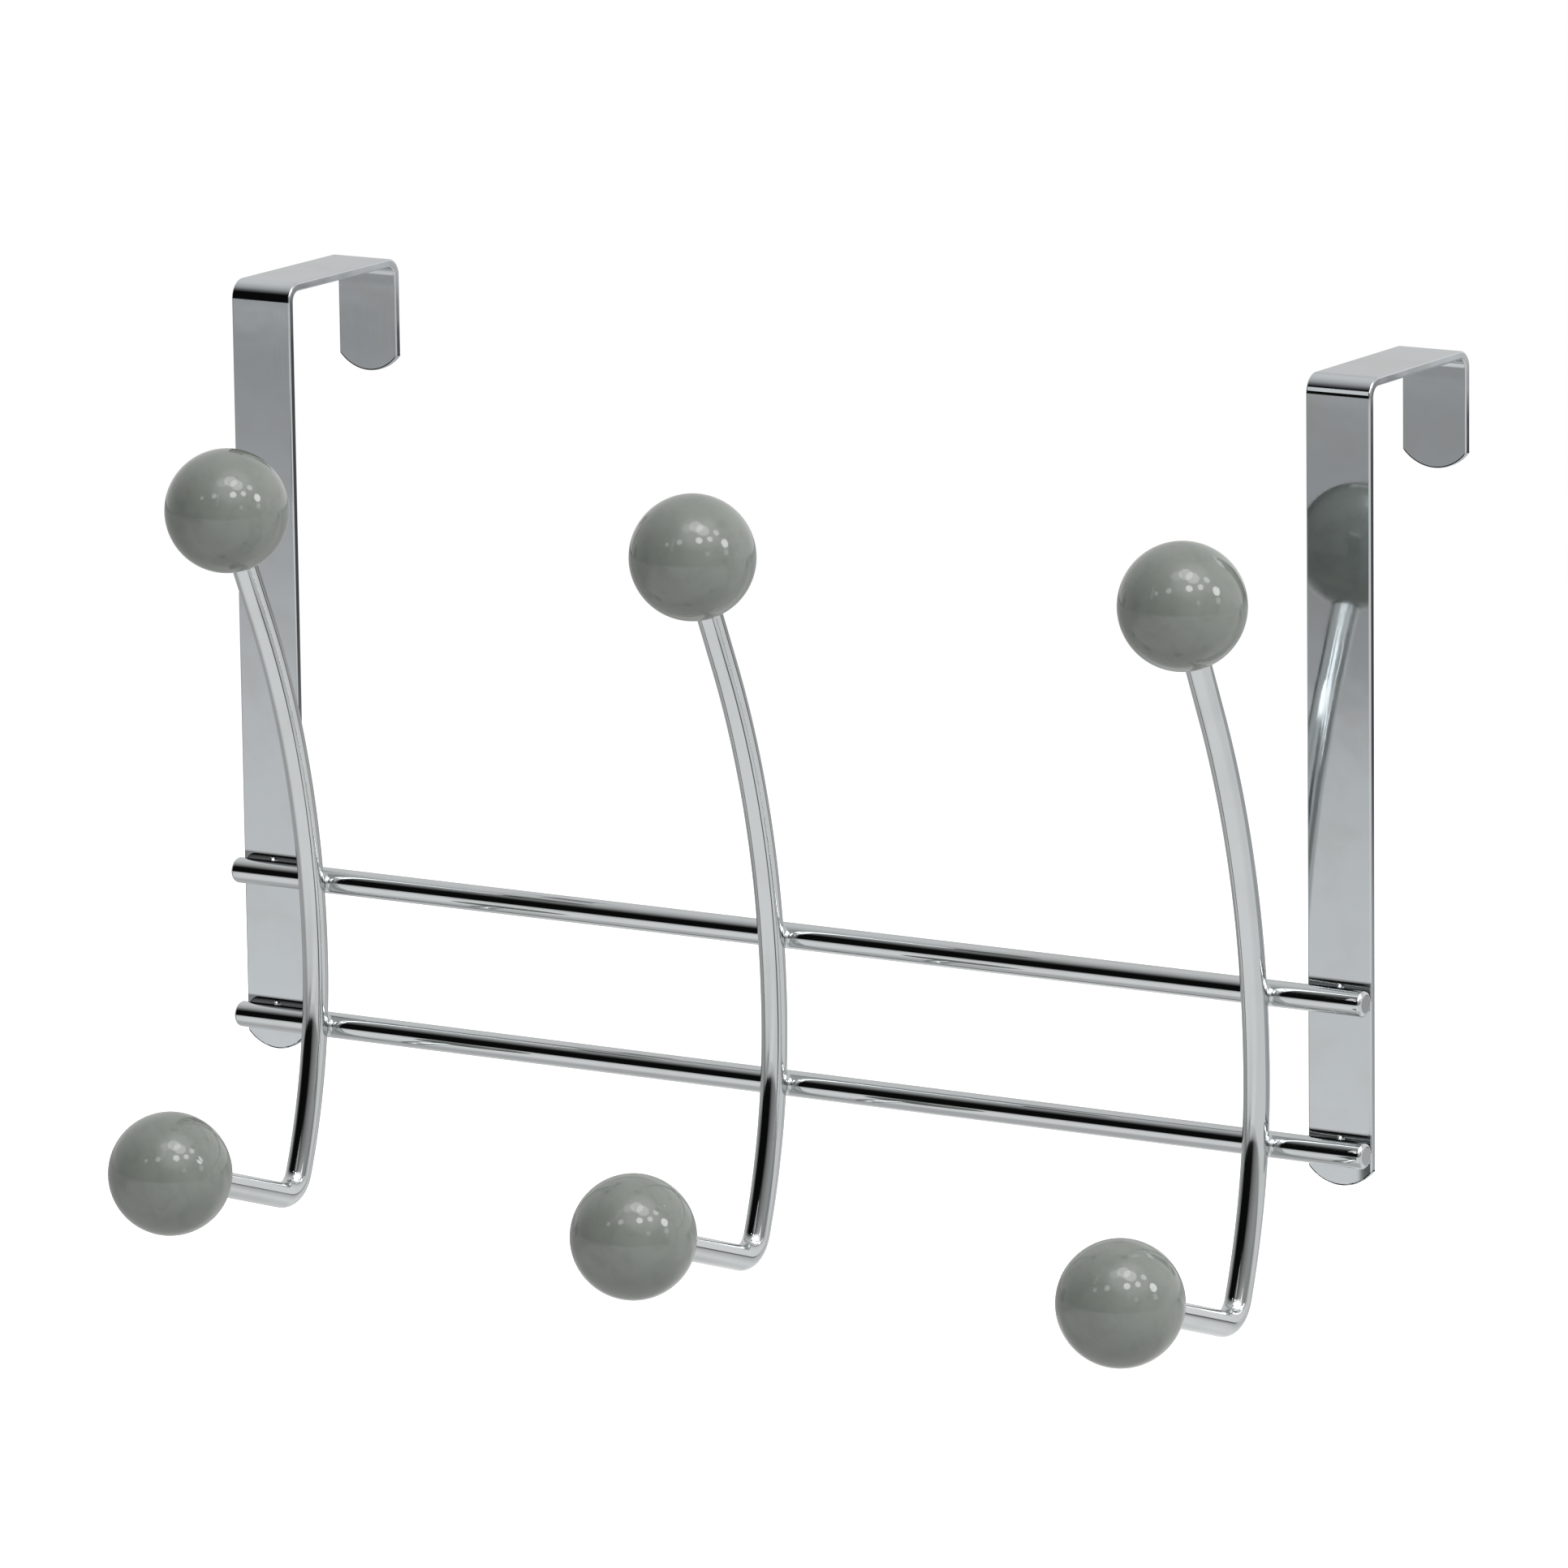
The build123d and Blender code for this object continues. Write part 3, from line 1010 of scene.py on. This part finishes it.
def share_of_turn(angle):
    """Ramp position of an angle: 0 straight ahead, 1 straight behind."""
    return (1 - cos(radians(angle))) / 2


turned = add_node(
    tree, "ShaderNodeMapRange",
    {"Value": closeness(DARK_FRONT), "From Min": 1.0, "From Max": -1.0}).outputs[0]
walls = grey_ramp(tree, turned, {share_of_turn(angle): grey for angle, grey in WALL_GREYS.items()})
side = patch(SIDE_WALL, SIDE_WALL_SPREAD, 1.0, SIDE_WALL_GREY)
panel = patch(CEILING_PANEL, CEILING_PANEL_SPREAD, 0.0, CEILING_PANEL_BRIGHTNESS)
brightness = math_node(tree, "ADD", math_node(tree, "MULTIPLY", walls, side), panel)
room = add_node(tree, "ShaderNodeBackground", {"Strength": brightness, "Color": (1, 1, 1, 1)}).outputs[0]
white = add_node(tree, "ShaderNodeBackground", {"Color": (1, 1, 1, 1), "Strength": 1.0}).outputs[0]
camera_ray = add_node(tree, "ShaderNodeLightPath").outputs["Is Camera Ray"]
surroundings = add_node(tree, "ShaderNodeMixShader", {"Fac": camera_ray, 1: room, 2: white}).outputs[0]
add_node(tree, "ShaderNodeOutputWorld", {"Surface": surroundings})
scene.world = world
scene.view_settings.view_transform = "Standard"
print("studio walls:", len(WALL_GREYS), "greys from front to back")

# %% [markdown]
# A row of round lamps hangs in the front right half of the studio. The small ones are the sparkles on the
# knobs, at the heels and at the welds, and the large ones are the soft patch on top of each knob. An area
# lamp's power is its brightness times pi times its area, so each is written down by how bright it looks in
# a mirror.

# %% Round lamps
LAMP_DISTANCE = 3.0
rack_centre = (cad_low + cad_high) / 2
# Azimuth and elevation in degrees, diameter in metres, brightness
lamps = [
    (100, 26, 0.7, 9.0),
    (47, 41, 0.6, 7.5),
    (72, 40, 0.5, 6.0),
    (95, 46, 0.5, 4.5),
    (4, 37, 0.5, 3.5),
    (-21, 29, 0.34, 2.5),
    (97, 13, 0.5, 2.2),
    (60, 16, 0.42, 1.6),
    (64, 58, 1.1, 3.4),
    (48, 67, 1.1, 3.0),
    (14, 64, 0.9, 1.2),
]


def area_lamp(name, shape, width, height, brightness):
    """Make an area lamp by its size and by how bright it looks in a mirror."""
    light = bpy.data.lights.new(name, "AREA")
    light.shape = shape
    light.size, light.size_y = width, height
    area = width * height * (pi / 4 if shape == "DISK" else 1)
    light.energy = brightness * pi * area
    lamp = show(name, light)
    lamp.visible_camera = False
    return lamp


for number, (azimuth, elevation, diameter, brightness) in enumerate(lamps, 1):
    lamp = area_lamp(f"studio_lamp_{number}", "DISK", diameter, diameter, brightness)
    outwards = direction(azimuth, elevation)
    lamp.location = rack_centre + LAMP_DISTANCE * outwards
    lamp.rotation_euler = outwards.to_track_quat("Z", "Y").to_euler()
print(len(lamps), "round lamps")

# %% [markdown]
# Two reflections belong to one piece only. The right strap has a bright bar in the black line of its fold,
# and the right hook shows up as a white streak in the mirror of that strap. Strip lamps make both. The
# first hangs so close that only the right fold mirrors it. The others light the back of the hook, from
# behind the rack and by way of the strap, and light linking keeps each of them to one piece.

# %% Strip lamps
FOLD_LAMP_SIZE, FOLD_LAMP_BRIGHTNESS = (0.03, 0.14), 0.9
FOLD_LAMP_DISTANCE = 0.4
STREAK_DEPTH, STREAK_DROP = 27 * MILLIMETRE, 73 * MILLIMETRE
REAR_AZIMUTH = 173
STRAP_LAMP_SIZE, STRAP_LAMP_BRIGHTNESS = (0.6, 0.16), 3.8


def strip_lamp(name, size, brightness, place, outwards):
    """Hang a strip lamp at a place, facing back against a direction, with its width along the rods."""
    lamp = area_lamp(name, "RECTANGLE", *size, brightness)
    upright = Vector((0, outwards.z, -outwards.y)).normalized()
    lamp.matrix_world = Matrix((upright.cross(outwards), upright, outwards)).transposed().to_4x4()
    lamp.location = place
    return lamp


def lights_only(lamp, piece_name):
    """Let one piece receive a lamp's light, and no other piece."""
    receivers = bpy.data.collections.new(f"lit_by_{lamp.name}")
    receivers.objects.link(bpy.data.objects[piece_name])
    lamp.light_linking.receiver_collection = receivers


fold_low, fold_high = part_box("door_strap_right")
fold = Vector(((fold_low.x + fold_high.x) / 2, fold_low.y, fold_high.z))
outwards = direction(-29.7, 17.5)
fold_lamp_place = fold + FOLD_LAMP_DISTANCE * outwards
strip_lamp("fold_lamp", FOLD_LAMP_SIZE, FOLD_LAMP_BRIGHTNESS, fold_lamp_place, outwards)

hook_back = Vector((centre_of("hook_right").x, -STREAK_DEPTH, -STREAK_DROP))
# Elevation in degrees, left end, right end and height in metres, brightness
rear_lamps = {
    "low_rear_lamp": (32.9, -0.5, 0.3, 0.085, 2.8),
    "high_rear_lamp": (37.3, -0.25, 1.7, 0.09, 2.1),
}
for name, (elevation, left, right, height, brightness) in rear_lamps.items():
    outwards = direction(REAR_AZIMUTH, elevation)
    place = hook_back + outwards + Vector(((left + right) / 2, 0, 0))
    lamp = strip_lamp(name, (right - left, height), brightness, place, outwards)
    lights_only(lamp, "polished_hook_right")

outwards = direction(29, 34)
lamp = strip_lamp("strap_lamp", STRAP_LAMP_SIZE, STRAP_LAMP_BRIGHTNESS, hook_back + outwards, outwards)
lights_only(lamp, "polished_door_strap_right")
print("strip lamps for the right fold, hook and strap")

# %% [markdown]
# The camera stands to the right of the rack and a little above it, far away behind a long lens, so upright
# lines stay upright. Its angles and distance make the straps, knobs and rods fall where the photograph has
# them.

# %% Camera
camera_azimuth = 31.544
camera_elevation = 11.743
camera_roll = radians(-0.754)
camera_distance = 2674.73 * MILLIMETRE
camera_target = Vector((-2.67, 0, -106.62)) * MILLIMETRE
image_side = 1932
focal_pixels = 14058.09

back = direction(camera_azimuth, camera_elevation)
right = direction(camera_azimuth + 90, 0)
up = back.cross(right)
rolled_right = cos(camera_roll) * right + sin(camera_roll) * up
rolled_up = cos(camera_roll) * up - sin(camera_roll) * right
lens = bpy.data.cameras.new("camera")
lens.sensor_width = 36.0
lens.lens = focal_pixels * lens.sensor_width / image_side
lens.clip_start, lens.clip_end = 0.1, 50
camera = show("camera", lens)
camera.matrix_world = Matrix((rolled_right, rolled_up, back)).transposed().to_4x4()
camera.location = camera_target + camera_distance * back
scene.camera = camera
print(f"camera: {lens.lens:.1f} mm lens, {camera_distance:.2f} m away")
